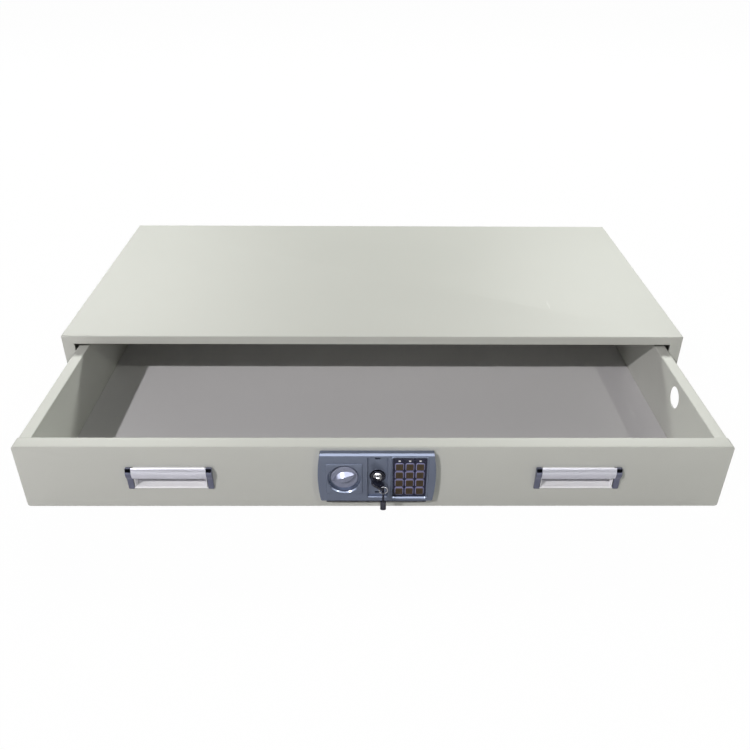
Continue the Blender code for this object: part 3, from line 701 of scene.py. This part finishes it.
def front_shell():
    """The drawer front: a shallow pan with round corners, let open for the pulls and the lock."""
    lowest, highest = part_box("front_panel")
    bm = node_block("front_panel")
    half_depth = (highest - lowest).y / 2
    corners = [e for e in bm.edges if abs((e.verts[0].co - e.verts[1].co).y) > half_depth]
    bmesh.ops.bevel(bm, geom=corners, offset=FRONT_CORNER, segments=6, profile=0.5, affect="EDGES")
    bm.normal_update()
    rim = [e for e in bm.edges if all(abs(v.co.y - lowest.y) < 1e-6 for v in e.verts)]
    bmesh.ops.bevel(bm, geom=rim, offset=FOLD, segments=5, profile=0.5, affect="EDGES")
    bm.normal_update()
    bmesh.ops.delete(bm, geom=[f for f in bm.faces if f.normal.y > SQUARE_ON], context="FACES")
    shell = add_object("front_shell", bm)
    thicken(shell)
    width, height = HANDLE_OPENING
    for word in ("left", "right"):
        centre = middle(f"handle_cup_{word}")
        cut(shell, rounded_block("opening", (centre.x - width / 2, FACE - 0.004, centre.z - height / 2),
                                 (centre.x + width / 2, FACE + 0.004, centre.z + height / 2), CRISP, 0.002))
    housing = middle("lock_cylinder_housing")
    for x, z, radius in ((housing.x, housing.z, HOUSING_HOLE_R), (middle("knob").x, KNOB_Z, SHAFT_HOLE_R)):
        cut(shell, soft_extrude("hole", circle(radius, 48), -0.004, 0.004, from_front(x, FACE, z)))
    dress(shell, "powder_coat", "drawer", ["front_panel"])


drawer_walls()
drawer_rear()
front_shell()


# ---- pulls
PULL_LENGTH = 0.116
PULL_HEIGHT = 0.038
CAP_WIDTH = 0.008
GRIP_LOW = 0.0012       # lower edge of the grip, above the pull's middle
CUP_WALL = 0.0010
CUP_ROUND = (0.002, 0.0035)     # its bottom edge, inwards and forwards
CUP_LIP = 0.0003
PULL_TOP_DROP = 0.0018  # the pull's top is this much lower than the CAD's


def bulge(inset, rise, top, steps=20):
    """The pull's bulge from its top down to the finger gap: (Y from the face, height)."""
    line = []
    for step in range(steps + 1):
        share = step / steps
        angle = math.radians(20 + 130 * share)
        line.append((-inset - rise * math.sin(angle), top + (GRIP_LOW - top) * share))
    return line


def ribbon(line, thick, steps=6):
    """The outline of a thick line with round ends."""
    pairs = rounded_line(line, 0.0001)
    left = [p + n * thick / 2 for p, n in pairs]
    right = [p - n * thick / 2 for p, n in pairs]
    ends = []
    for (p, n), sign in ((pairs[-1], 1), (pairs[0], -1)):
        ends.append([p + Matrix.Rotation(-math.pi * s / steps, 2) @ (n * thick / 2 * sign)
                     for s in range(1, steps)])
    return (left + ends[0] + right[::-1] + ends[1])[::-1]


def cup_bottom(outline, depth, inset, steps=6):
    """Rings of the cup's rounded bottom edge, outside (inset 0) or inside (inset by the wall)."""
    rings = []
    for step in range(steps + 1):
        angle = math.pi / 2 * step / steps
        rings.append((shrink(outline, inset + CUP_ROUND[0] * (1 - math.sin(angle))),
                      depth + inset + CUP_ROUND[1] * (1 - math.cos(angle))))
    return rings


def pulls():
    """An open cup let into the front, a satin grip arched over its top and two chrome ends."""
    half = PULL_LENGTH / 2
    foot = -PULL_HEIGHT / 2
    top = PULL_HEIGHT / 2 - PULL_TOP_DROP
    for word in ("left", "right"):
        lowest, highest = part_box(f"handle_cup_{word}")
        centre = (lowest + highest) / 2
        width = highest.x - lowest.x
        height = highest.z - lowest.z
        depth = FACE - highest.y
        lip = FACE - lowest.y
        outline = rounded_rectangle(width, height, 0.0022)
        rings = cup_bottom(outline, depth, 0)
        rings += [(outline, lip - CUP_LIP), (shrink(outline, 0.0002), lip),
                  (shrink(outline, CUP_WALL - 0.0002), lip), (shrink(outline, CUP_WALL), lip - CUP_LIP)]
        rings += cup_bottom(outline, depth, CUP_WALL)[::-1]
        cup = loft(f"pull_cup_{word}", rings, from_front(centre.x, FACE, centre.z))
        dress(cup, "cup_plastic", "drawer", [f"handle_cup_{word}"])
        inner = half - CAP_WIDTH
        pull_z = middle(f"handle_cap_{word}_a").z
        lip_bar = rounded_block(f"pull_lip_{word}", (centre.x - inner, FACE - 0.0026, pull_z + foot),
                                (centre.x + inner, FACE - GAP, lowest.z - 0.0001), 0.0009, 0.0008)
        dress(lip_bar, "cup_plastic", "drawer")

        place = from_side(centre.x, FACE, pull_z)
        arch = ribbon(bulge(0.0028, 0.0037, top - 0.0004), 0.0016)
        grip = soft_extrude(f"pull_grip_{word}", arch, -inner, inner, place)
        dress(grip, "satin_aluminium", "drawer", [f"handle_grip_{word}"])

        end_line = bulge(0.0034, 0.0044, top - 0.0004)
        end_line += [(-0.0041, -0.0020), (-0.0036, -0.0055), (-0.0032, foot + 0.0012), (-0.0026, foot),
                     (-GAP, foot), (-GAP, top - 0.0012), (-0.0014, top)]
        for tag, side in (("a", -1), ("b", 1)):
            near, far = sorted((side * (inner + 0.0001), side * half))
            cap = soft_extrude(f"pull_end_{word}_{tag}", end_line, near, far, place, 0.0009, 0.0009)
            dress(cap, "chrome", "drawer", [f"handle_cap_{word}_{tag}"])


pulls()


# ---- lock face
LOCK_HALF_END = 0.0760
LOCK_HALF_MID = 0.0795
LOCK_CORNER = 0.0020
SHADOW_STRIP_HEIGHT = 0.0022    # black strip under the plate's lower edge: a painted shadow, standing in for the plate's shadow on the front
TOP_SLOPE = 0.0026      # slope along the plate's upper front edge
RAISED = 0.0012         # knob boss and keypad rim, above the rest of the plate
KNOB_X = LOCK_X - 0.0438
KNOB_TILT = math.radians(17)
WELL_R = 0.0218
KEYPAD_X = LOCK_X + 0.0440
KEYPAD_Z = 0.0742
WINDOW = (0.0450, 0.0660)
RECESS = (0.0264, 0.0664)
RECESS_DEPTH = 0.0035
CYLINDER_X = LOCK_X + 0.0010
CYLINDER_Z = 0.0745
KEY_SIZE = (0.0119, 0.0125)
KEY_FACE = (0.0098, 0.0104)
WELL_DEPTH = 0.0050
BOSS = (0.0490, 0.0510)
RIM_WIDTH = 0.0030      # of the keypad's rim, on every side
NOTCH = (0.0070, 0.0026)


def lock_outline():
    """Straight top and bottom, bowed sides, small round corners; about the plate's middle."""
    lowest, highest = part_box("lock_faceplate")
    half_height = (highest.z - lowest.z) / 2
    rise = LOCK_HALF_MID - LOCK_HALF_END
    radius = (half_height ** 2 + rise ** 2) / (2 * rise)
    spread = math.asin(half_height / radius)
    steps = 16
    bow = [(LOCK_HALF_MID - radius + radius * math.cos(a), radius * math.sin(a))
           for a in (spread * (2 * s / steps - 1) for s in range(steps + 1))]
    loop = [(0, -half_height), *bow, *[(-x, -z) for x, z in bow], (0, -half_height)]
    return [p for p, _ in rounded_line(loop, LOCK_CORNER)][:-1]


def flared(name, outline, bottom, top, flare, place):
    """A cutter whose mouth, at height top, opens outwards by the flare."""
    rings = [(outline, bottom), (outline, top - flare), (shrink(outline, -flare), top),
             (shrink(outline, -flare), top + 0.006)]
    return loft(name, rings, place)


def lock_plate():
    """Face plate with its knob boss, key recess and keypad rim."""
    lowest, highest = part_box("lock_faceplate")
    proud = FACE - PLATE - RAISED
    centre_z = (lowest.z + highest.z) / 2
    at_plate = from_front(LOCK_X, FACE, centre_z)
    at_knob = from_front(KNOB_X, FACE, KNOB_Z)
    at_pad = from_front(KEYPAD_X, FACE, KEYPAD_Z)
    at_key = from_front(CYLINDER_X, FACE, CYLINDER_Z)
    plate = soft_extrude("lock_plate", lock_outline(), GAP, proud, at_plate, end_edge=0.0008)
    boss = rounded_rectangle(*BOSS, 0.0030)
    rim = rounded_rectangle(WINDOW[0] + 2 * RIM_WIDTH, WINDOW[1] + 2 * RIM_WIDTH, 0.0040)
    for outline, place in ((boss, at_knob), (rim, at_pad)):
        join(plate, soft_extrude("raised", outline, proud - 0.002, proud + RAISED, place,
                                 end_edge=RAISED - 0.0001))
    top = highest.z - centre_z
    slope = [(proud - TOP_SLOPE, top + 0.0001), (proud + 0.001, top - TOP_SLOPE - 0.0009),
             (proud + 0.001, top + 0.0001)]
    upright = Matrix(((0, 0, 1, 0), (-1, 0, 0, FACE), (0, 1, 0, centre_z), (0, 0, 0, 1)))
    recess_floor = proud - RECESS_DEPTH
    cut(plate,
        soft_extrude("slope", slope, LOCK_X - 0.1, LOCK_X + 0.1, upright),
        flared("well", circle(WELL_R, 96), proud - WELL_DEPTH, proud + RAISED, 0.0014, at_knob),
        soft_extrude("shaft", circle(SHAFT_HOLE_R, 32), -0.01, 0.02, at_knob),
        flared("recess", rounded_rectangle(*RECESS, 0.0012), recess_floor, proud, 0.0009, at_key),
        flared("cylinder", circle(0.0105, 64), -0.01, recess_floor, 0.0006, at_key),
        flared("window", rounded_rectangle(*WINDOW, 0.0020), -0.01, proud + RAISED, 0.0016, at_pad))
    notch = rounded_rectangle(*NOTCH, 0.0008)
    for height in (RECESS[1] / 2 - 0.0034, 0.0056 - RECESS[1] / 2):
        spot = from_front(CYLINDER_X, FACE, CYLINDER_Z + height)
        cut(plate, soft_extrude("notch", notch, -0.01, recess_floor + 0.001, spot))
    dress(plate, "lock_plastic", "drawer", ["lock_faceplate"], 28)
    # Painted shadow: a thin black strip under the plate's lower edge, put where the raised plate only casts
    # its shadow on the drawer front.
    foot = rounded_rectangle(2 * LOCK_HALF_END - 0.0156, SHADOW_STRIP_HEIGHT, 0.0005)
    below = at_plate @ Matrix.Translation((-0.0004, lowest.z - centre_z - SHADOW_STRIP_HEIGHT / 2 - 0.0001, 0))
    pad = soft_extrude("lock_painted_shadow_strip", foot, GAP, proud - 0.0007, below, end_edge=0.0003)
    dress(pad, "black_plastic", "drawer")


def pierce(pad, outline, place):
    cut(pad, soft_extrude("hole", outline, -0.005, 0.02, place))


def keypad():
    """Dark panel with three lights and twelve keys."""
    pad_front = FACE - low("keypad_plate").y
    pad = soft_extrude("keypad_panel", rounded_rectangle(WINDOW[0] - 2 * GAP, WINDOW[1] - 2 * GAP, 0.0018),
                       pad_front - 0.0030, pad_front, from_front(KEYPAD_X, FACE, KEYPAD_Z), end_edge=0.0003)
    hole = rounded_rectangle(KEY_SIZE[0] + 0.0004, KEY_SIZE[1] + 0.0004, 0.0030)
    for label in ("1", "2", "3", "4", "5", "6", "7", "8", "9", "clear", "0", "enter"):
        spot = middle(f"button_{label}")
        place = from_front(spot.x, FACE, spot.z)
        pierce(pad, hole, place)
        push_key(label, pad_front, place)
    lens = rounded_rectangle(0.0032, 0.0022, 0.0010)
    for number in (1, 2, 3):
        spot = middle(f"indicator_light_{number}")
        place = from_front(spot.x, FACE, spot.z)
        pierce(pad, shrink(lens, -0.0001), place)
        light = soft_extrude(f"light_lens_{number}", lens, pad_front - 0.0028, pad_front + 0.0005, place,
                             end_edge=0.0006)
        dress(light, "light_lens", "drawer", [f"indicator_light_{number}"])
    dress(pad, "keypad_black", "drawer", ["keypad_plate"])


def push_key(label, pad_front, place):
    """One key: a pale surround, a dark face and a mark on it."""
    body = f"button_{label}"
    top = pad_front + 0.0010
    face_top = top + 0.00025
    surround = soft_extrude(f"key_surround_{label}", rounded_rectangle(*KEY_SIZE, 0.0028),
                            pad_front - 0.0034, top, place, end_edge=0.0008)
    dress(surround, "key_face", body, [body], finish=KEY_BORDER)
    face = soft_extrude(f"key_face_{label}", rounded_rectangle(*KEY_FACE, 0.0012), top - 0.0004, face_top,
                        place, end_edge=0.0002)
    dress(face, "key_face", body)
    draw = symbol if label in ("clear", "enter") else numeral
    dress(draw(label, place @ Matrix.Translation((0, 0, face_top))), "key_face", body, finish=KEY_INK)


INK_HALF = 0.00006      # half thickness of a numeral or symbol


def numeral(label, place):
    text = bpy.data.curves.new("numeral_" + label, "FONT")
    text.body = label
    text.size = 0.0070
    text.align_x = "CENTER"
    text.align_y = "CENTER"
    text.extrude = INK_HALF
    text.resolution_u = 3
    guide = show("guide", text)
    bpy.context.view_layer.update()
    mesh = bpy.data.meshes.new_from_object(guide.evaluated_get(bpy.context.evaluated_depsgraph_get()))
    bpy.data.objects.remove(guide, do_unlink=True)
    bm = bmesh.new()
    bm.from_mesh(mesh)
    bmesh.ops.remove_doubles(bm, verts=bm.verts, dist=1e-7)
    bmesh.ops.transform(bm, matrix=place, verts=bm.verts)
    return add_object("key_numeral_" + label, bm)


def symbol(label, place):
    """Two crossed bars to clear, and a ring to enter."""
    if label == "enter":
        ring = [(0.0022, -INK_HALF), (0.0022, INK_HALF), (0.0015, INK_HALF), (0.0015, -INK_HALF)]
        return turned("key_symbol_enter", ring, place, 32)
    bar = rounded_rectangle(0.0052, 0.0008, 0.0003, 2)
    cross = []
    for turn in (math.pi / 4, -math.pi / 4):
        spun = place @ Matrix.Rotation(turn, 4, "Z")
        cross.append(soft_extrude("key_symbol_clear", bar, -INK_HALF, INK_HALF, spun))
    join(*cross)
    return cross[0]


# ---- knob
DISC_THICK = 0.0017
DISC_DEPTH = 0.0030     # of its front, below the face plate
BAR_REACH = 0.0164      # half length
BAR_LEAN = 0.966        # how far each side runs out for its height
BAR_CREST = 0.0034      # half width of its top
BAR_RISE = 0.0060


def soft_corner(before, corner, after, edge, steps=5):
    """A corner of a section, replaced by a short curve."""
    corner = Vector(corner)
    start = corner + (Vector(before) - corner).normalized() * edge
    end = corner + (Vector(after) - corner).normalized() * edge
    shares = [step / steps for step in range(steps + 1)]
    return [start.lerp(corner, share).lerp(corner.lerp(end, share), share) for share in shares]


def knob():
    """A round disc with a bar across it whose crest is arched from end to end."""
    lowest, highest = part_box("knob")
    radius = (highest.x - lowest.x) / 2
    disc_front = FACE - PLATE - RAISED - DISC_DEPTH
    disc_back = disc_front - DISC_THICK
    soft = 0.0012
    profile = [(0, disc_front)]
    for step in range(6):
        angle = math.pi / 2 * step / 5
        profile.append((radius - soft + soft * math.sin(angle), disc_front - soft + soft * math.cos(angle)))
    shaft_r, crank_r = 0.0040, 0.0080
    crank = FACE - highest.y
    profile += [(radius, disc_back), (shaft_r, disc_back), (shaft_r, crank + 0.0020),
                (crank_r, crank + 0.0020), (crank_r, crank), (0, crank)]
    disc = turned("turning_knob", profile, from_front(KNOB_X, FACE, KNOB_Z), 96)

    stations = 40
    rings = []
    for index in range(stations + 1):
        share = 0.9995 * math.sin(math.pi / 2 * (2 * index / stations - 1))
        fade = 1 - share ** 2
        along = BAR_REACH * share
        rise = BAR_RISE * fade + 0.00005
        crest = BAR_CREST * math.sqrt(fade) + 0.0001
        foot = min(crest + BAR_LEAN * rise, math.sqrt((radius - 0.0008) ** 2 - along ** 2))
        edge = 0.25 * min(rise, crest)
        right = soft_corner((foot, 0), (crest, rise), (0, rise), edge)
        left = soft_corner((0, rise), (-crest, rise), (-foot, 0), edge)
        rings.append(([(-foot, -0.0005), (foot, -0.0005), (foot, 0.0), *right, *left, (-foot, 0.0)], along))
    place = from_front(KNOB_X, FACE, KNOB_Z) @ Matrix.Rotation(KNOB_TILT, 4, "Z")
    join(disc, loft("bar", rings, place @ Matrix.Translation((0, 0, disc_front)) @ SIDEWAYS))
    dress(disc, "knob_plastic", "knob", ["knob"], 24)


# ---- key lock
BOW_TILT = math.radians(34)
BOW_START = 0.0144      # in front of the drawer's face
BOW = (0.020, 0.0165)
BOW_THICK = 0.0028
HOLE_R = 0.0024
HOLE_ACROSS = 0.0056
HOLE_ALONG = BOW[1] - 0.0050
RING_R = 0.0055
RING_WIRE = 0.00065
SPARE_TILT = math.radians(20)
SHANK_R = 0.0040
SHANK_LENGTH = 0.0119


def bow_outline():
    half = BOW[0] / 2
    corners = ((half, BOW[1], 0.0050), (-half, BOW[1], 0.0050), (-half, 0, 0.0035), (half, 0, 0.0035))
    steps = 10
    points = []
    for index, (x, y, radius) in enumerate(corners):
        centre_x = x - math.copysign(radius, x)
        centre_y = y - radius if y > 0 else radius
        for step in range(steps + 1):
            angle = math.pi / 2 * (index + step / steps)
            points.append((centre_x + radius * math.cos(angle), centre_y + radius * math.sin(angle)))
    return points


def one_key(prefix, place, body, nodes):
    """Moulded bow with a ring hole, and a hollow round shank."""
    half = BOW_THICK / 2
    bow = soft_extrude(prefix + "_bow_moulded", bow_outline(), -half, half, place, 0.0008, 0.0008)
    hole = place @ Matrix.Translation((HOLE_ACROSS, HOLE_ALONG, 0))
    cut(bow, soft_extrude("hole", circle(HOLE_R, 32), -0.01, 0.01, hole))
    dress(bow, "black_plastic", body, [nodes[0]])
    along = place @ Matrix.Rotation(-math.pi / 2, 4, "X")
    soft = 0.0005
    tube = [(SHANK_R - 0.0004, -GAP), (SHANK_R, -GAP - 0.0004), (SHANK_R, soft - SHANK_LENGTH),
            (SHANK_R - soft * 0.3, soft * 0.3 - SHANK_LENGTH), (SHANK_R - soft, -SHANK_LENGTH),
            (0.0033, -SHANK_LENGTH), (0.0031, soft - SHANK_LENGTH), (0.0031, -GAP)]
    # The spare key's shank is the same steel as the key's; it gets the shaded nickel, which paints a dark
    # reflection into its colour.
    finish = SHADED_NICKEL if prefix == "spare_key" else None
    shank = turned(prefix + "_shank_turned", tube, along, 48)
    dress(shank, "bright_steel", body, [nodes[1]], finish=finish)


def key_lock():
    """Housing ring, turning plug with its tubular slot, the key in it, the ring and the spare key."""
    spot = from_front(CYLINDER_X, FACE, CYLINDER_Z)
    housing = [(0.0095, 0.0070), (0.0093, 0.0075), (0.0088, 0.0077), (0.0070, 0.0077), (0.0066, 0.0075),
               (0.0063, 0.0070), (0.0063, -0.0280), (0.0095, -0.0280)][::-1]
    # The housing takes the shaded nickel: its dark colour is painted shade for the dark reflections on it.
    dress(turned("cylinder_housing", housing, spot, 64), "zinc_steel", "drawer", ["lock_cylinder_housing"],
          finish=SHADED_NICKEL)
    plug_front, plug_back, plug_r = 0.0080, -0.0283, 0.0060
    slot_in, slot_out, slot_end = 0.0030, 0.0043, 0.0010
    mouth, rim = 0.0003, 0.0004     # chamfers of the slot and of the plug's edge
    plug = [(0, plug_front), (slot_in - mouth, plug_front), (slot_in, plug_front - mouth),
            (slot_in, slot_end), (slot_out, slot_end), (slot_out, plug_front - mouth),
            (slot_out + mouth, plug_front), (plug_r - rim, plug_front),
            (plug_r, plug_front - rim), (plug_r, plug_back), (0, plug_back)]
    dress(turned("cylinder_plug", plug, spot, 64), "bright_steel", "key", ["lock_plug"])

    flat = Matrix.Translation((CYLINDER_X, FACE - BOW_START, CYLINDER_Z))
    flat = flat @ Matrix.Rotation(BOW_TILT, 4, "Y") @ Matrix.Rotation(math.pi, 4, "X")
    one_key("key", flat, "key", ("key_bow", "key_shank"))

    ring_low, ring_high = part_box("key_ring")
    centre = (ring_low + ring_high) / 2
    wire = [(RING_R + across, up) for across, up in circle(RING_WIRE, 14)]
    dress(turned("split_ring", wire, from_front(*centre), 72), "bright_steel", "ring", ["key_ring"], 60)

    pin = centre - Vector((0, 0, RING_R))
    hole_centre = pin - Vector((0, 0, HOLE_R - RING_WIRE - GAP))
    edge_on = Matrix(((0, 0, -1, 0), (-1, 0, 0, 0), (0, 1, 0, 0), (0, 0, 0, 1)))
    hang = Matrix.Translation(hole_centre) @ Matrix.Rotation(-SPARE_TILT, 4, "X") @ edge_on
    hang = hang @ Matrix.Translation((-HOLE_ACROSS, -HOLE_ALONG, 0))
    one_key("spare_key", hang, "spare_key", ("spare_key_bow", "spare_key_shank"))


lock_plate()
keypad()
knob()
key_lock()


# ---- carried-over nodes
for kept in ("drawer_floor", "front_inner_cover", "bolt_strike", "lock_case", "battery_cover", "solenoid",
             "bolt_carriage", "lock_cam", "keypad_circuit_board"):
    soften(kept)
SLOTS = {row["node"]: row["material_slot"] for row in frame["record"]["subparts"]}
for name, piece in NODES.items():
    for holder in piece.material_slots:
        # The drawer floor takes the lightened coat, which is partly painted light.
        holder.material = FLOOR_COAT_LIGHTENED if name == "drawer_floor" else LOOKS[SLOTS[name]]


# ---- stage
LAMP_AIM = Vector((0, -0.2, 0.05))
LAMPS = (               # name, place, width, height or None for a square, watts, colour
    ("key_left", (-2.35, -3.3, 3.2), 0.10, None, 126, (1.0, 0.975, 0.985)),
    ("key_right", (2.35, -3.3, 3.2), 0.10, None, 30, (0.98, 1.0, 0.90)),
    ("back_left", (-2.1, 3.1, 2.8), 2.0, 0.7, 104, (0.98, 1.0, 0.95)),
    ("back_right", (2.1, 3.1, 2.8), 2.0, 0.7, 122, (0.98, 1.0, 0.95)),
)
DARK = 0.02             # what little the surroundings themselves light
BAND_RISE = math.radians(51)
BAND_STRENGTH = 4.5


def lighting():
    for name, spot, width, height, power, colour in LAMPS:
        data = bpy.data.lights.new(name, "AREA")
        data.energy = power
        data.color = colour
        data.size = width
        if height:
            data.shape = "RECTANGLE"
            data.size_y = height
        lamp = show(name, data)
        lamp.location = spot
        lamp.rotation_euler = (LAMP_AIM - Vector(spot)).to_track_quat("-Z", "Y").to_euler()


def to_camera(tree, seen, otherwise):
    """One shader for what the camera sees directly, another for every other ray."""
    ray = tree.nodes.new("ShaderNodeLightPath")
    return blend(tree, ray.outputs["Is Camera Ray"], otherwise, seen)


def surroundings():
    """A white sweep to the eye, and nearly dark for the light that falls on the object."""
    world = bpy.data.worlds.new("studio")
    bpy.context.scene.world = world
    world.use_nodes = True
    tree = world.node_tree
    dark = tree.nodes["Background"]
    dark.inputs["Color"].default_value = (0.9, 0.95, 1.0, 1.0)
    dark.inputs["Strength"].default_value = DARK
    white = tree.nodes.new("ShaderNodeBackground")
    white.inputs["Color"].default_value = (1.0, 1.0, 1.0, 1.0)
    surface = to_camera(tree, white.outputs[0], light_band(tree, dark.outputs[0]))
    tree.links.new(surface, tree.nodes["World Output"].inputs["Surface"])


def light_band(tree, behind):
    """A wide band of light high in front, seen in reflections only."""
    direction = tree.nodes.new("ShaderNodeTexCoord").outputs["Generated"]
    towards = (0, -math.cos(BAND_RISE), math.sin(BAND_RISE))
    upwards = (0, math.sin(BAND_RISE), math.cos(BAND_RISE))
    in_front = map_range(tree, dot_product(tree, direction, towards), 0.35, 0.55, 0.0, 1.0)
    off_middle = calculate(tree, "ABSOLUTE", dot_product(tree, direction, upwards))
    in_band = map_range(tree, off_middle, 0.20, 0.32, 1.0, 0.0)
    share = tree.nodes.new("ShaderNodeLightPath").outputs["Is Glossy Ray"]
    share = calculate(tree, "MULTIPLY", share, in_front)
    share = calculate(tree, "MULTIPLY", share, in_band)
    glow = tree.nodes.new("ShaderNodeBackground")
    glow.inputs["Strength"].default_value = BAND_STRENGTH
    return blend(tree, share, behind, glow.outputs[0])


FLOOR_DROP = 0.0006
FLOOR_GLOW = 0.985      # its share of plain white to the camera


def studio_floor():
    """A floor that is white to the camera and still throws light back on the object."""
    bm = bmesh.new()
    bmesh.ops.create_grid(bm, x_segments=1, y_segments=1, size=25.0)
    floor = add_object("studio_floor", bm)
    floor.location.z = -FLOOR_DROP
    look = bpy.data.materials.new("studio_floor")
    look.use_nodes = True
    tree = look.node_tree
    diffuse = tree.nodes["Principled BSDF"]
    diffuse.inputs["Base Color"].default_value = (0.85, 0.85, 0.85, 1.0)
    diffuse.inputs["Roughness"].default_value = 0.9
    glow = tree.nodes.new("ShaderNodeEmission")
    seen = blend(tree, FLOOR_GLOW, diffuse.outputs[0], glow.outputs[0])
    surface = to_camera(tree, seen, diffuse.outputs[0])
    tree.links.new(surface, tree.nodes["Material Output"].inputs["Surface"])
    floor.data.materials.append(look)


LENS = 36.45            # millimetres
CAMERA_PLACE = (-0.010, -1.3165, 0.727)
CAMERA_TURN = (0.7, 31.66, -0.45)       # degrees: right, down, roll


def photo_camera():
    data = bpy.data.cameras.new("camera")
    data.lens = LENS
    data.sensor_width = 36.0
    camera = show("camera", data)
    yaw, pitch, roll = (math.radians(angle) for angle in CAMERA_TURN)
    turn = Matrix.Rotation(-yaw, 4, "Z") @ Matrix.Rotation(math.pi / 2 - pitch, 4, "X")
    camera.matrix_world = Matrix.Translation(CAMERA_PLACE) @ turn @ Matrix.Rotation(-roll, 4, "Z")
    bpy.context.scene.camera = camera


lighting()
surroundings()
studio_floor()
photo_camera()
bpy.context.scene.view_settings.view_transform = "Standard"
